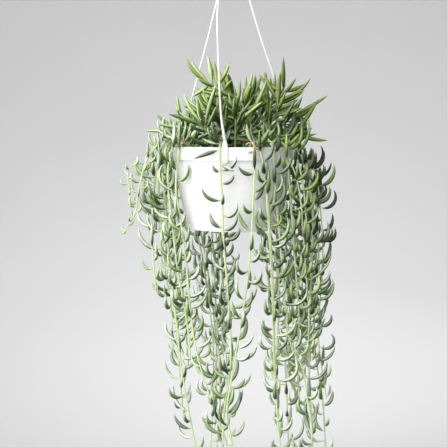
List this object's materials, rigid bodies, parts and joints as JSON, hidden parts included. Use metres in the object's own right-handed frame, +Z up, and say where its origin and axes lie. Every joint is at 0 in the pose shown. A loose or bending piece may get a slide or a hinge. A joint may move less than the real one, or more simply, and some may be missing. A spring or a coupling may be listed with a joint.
{
  "type": "potted fish hook plant in a hanging pot",
  "caption": "Trailing succulent with hook-shaped leaves, growing over the rim of a round white hanging pot with a three-strand hanger.",
  "frame": {"origin": "seat of the hook: the highest inside point of its bend, where a rail or ceiling hook carries it", "axes": "+Z up, -Y to the front of the pot where the bowed strand hangs, the pot's axis is Z"},
  "size_m": [0.2668, 0.2114, 0.7344],
  "materials": {
    "pot_plastic": "smooth white moulded plastic, slight sheen",
    "hanger_plastic": "smooth white moulded plastic",
    "soil": "dark damp potting mix",
    "mound_foliage": "waxy mid-green succulent leaves, yellow-green when young",
    "trailing_foliage": "waxy grey-green hook leaves on pale green stems"
  },
  "bodies": {
    "root": {"hanger_hook": "hanger_plastic", "pot": "pot_plastic", "soil": "soil", "strand_front": "hanger_plastic", "strand_left": "hanger_plastic", "strand_right": "hanger_plastic", "trail_front": "trailing_foliage", "trail_front_right": "trailing_foliage", "trail_left_1": "trailing_foliage", "trail_left_2": "trailing_foliage", "trail_left_3": "trailing_foliage", "trail_left_4": "trailing_foliage", "trail_left_5": "trailing_foliage", "trail_left_6": "trailing_foliage", "trail_left_spray": "trailing_foliage", "trail_back_1": "trailing_foliage", "trail_back_2": "trailing_foliage", "trail_back_3": "trailing_foliage", "trail_back_4": "trailing_foliage", "trail_back_5": "trailing_foliage", "trail_back_6": "trailing_foliage", "trail_back_7": "trailing_foliage", "trail_right_1": "trailing_foliage", "trail_right_2": "trailing_foliage", "trail_right_3": "trailing_foliage", "trail_right_4": "trailing_foliage", "trail_right_5": "trailing_foliage", "trail_right_6": "trailing_foliage", "trail_right_7": "trailing_foliage", "trail_right_8": "trailing_foliage", "shoot_1": "mound_foliage", "shoot_2": "mound_foliage", "shoot_3": "mound_foliage", "shoot_4": "mound_foliage", "shoot_5": "mound_foliage", "shoot_6": "mound_foliage", "shoot_7": "mound_foliage", "shoot_8": "mound_foliage", "shoot_9": "mound_foliage", "shoot_10": "mound_foliage", "shoot_11": "mound_foliage", "shoot_12": "mound_foliage", "shoot_13": "mound_foliage", "shoot_14": "mound_foliage", "shoot_15": "mound_foliage", "shoot_16": "mound_foliage", "shoot_17": "mound_foliage", "shoot_18": "mound_foliage", "shoot_19": "mound_foliage", "shoot_20": "mound_foliage", "shoot_21": "mound_foliage"}
  },
  "joints": []
}
